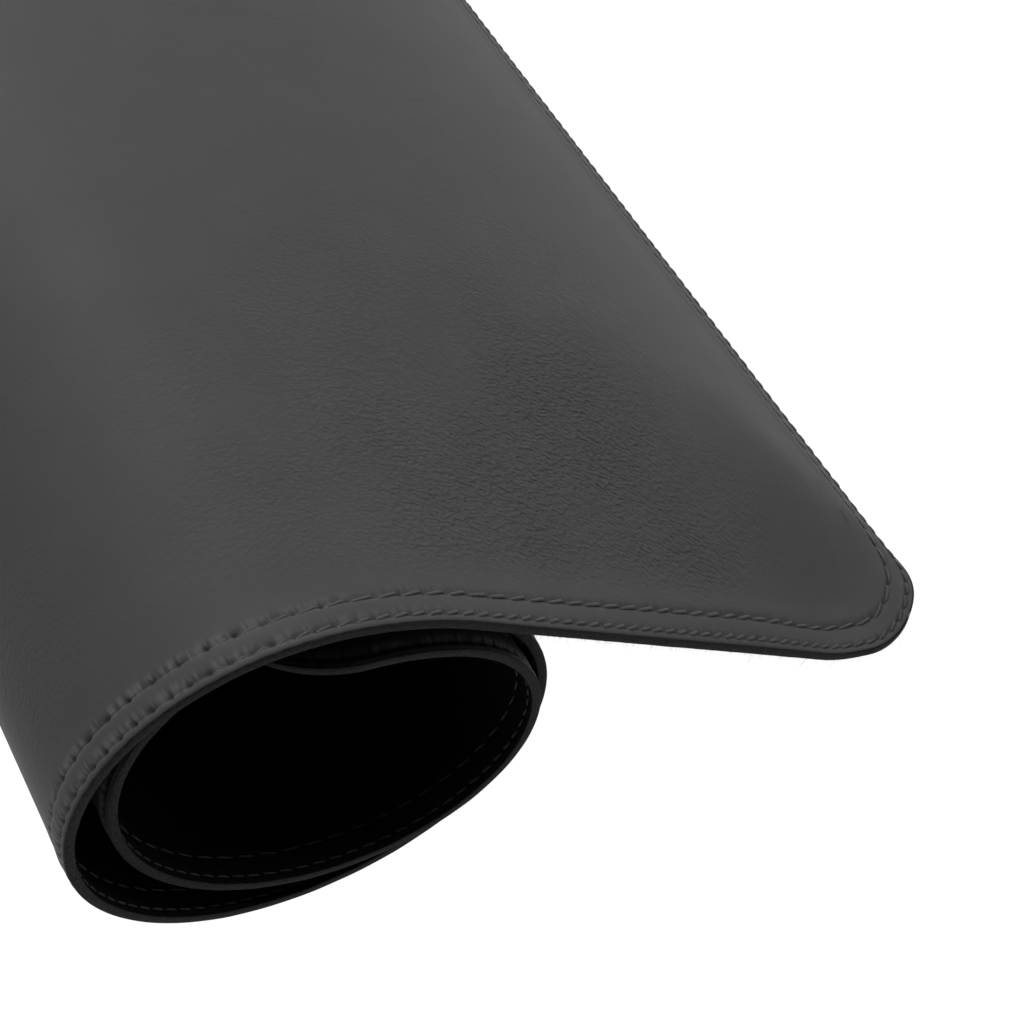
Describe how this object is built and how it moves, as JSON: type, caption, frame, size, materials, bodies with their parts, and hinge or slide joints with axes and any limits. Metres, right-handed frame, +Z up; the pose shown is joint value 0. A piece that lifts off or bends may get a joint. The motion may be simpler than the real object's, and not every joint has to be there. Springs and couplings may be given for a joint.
{
  "type": "desk pad",
  "caption": "Leather desk pad with a felt back and a stitched border, lying with one end rolled up and the free end arching down to the table.",
  "frame": {"origin": "on the table, under the middle of the pad's box", "axes": "+Y along the roll, away from the end that the picture shows; +X from the roll to the free end; +Z up from the table"},
  "size_m": [0.2144, 0.4078, 0.1037],
  "materials": {
    "leather": "dark grey semi-matte grained leather",
    "interlining": "bonded fibre sheet",
    "felt": "black pressed felt",
    "edge_coat": "dark grey edge paint",
    "needle_thread": "twisted dark grey thread",
    "bobbin_thread": "twisted grey thread"
  },
  "bodies": {
    "root": {"leather_face": "leather", "interlining": "interlining", "felt_backing": "felt", "edge_coat": "edge_coat", "outer_needle_thread": "needle_thread", "inner_needle_thread": "needle_thread", "outer_bobbin_thread": "bobbin_thread", "inner_bobbin_thread": "bobbin_thread"}
  },
  "joints": []
}
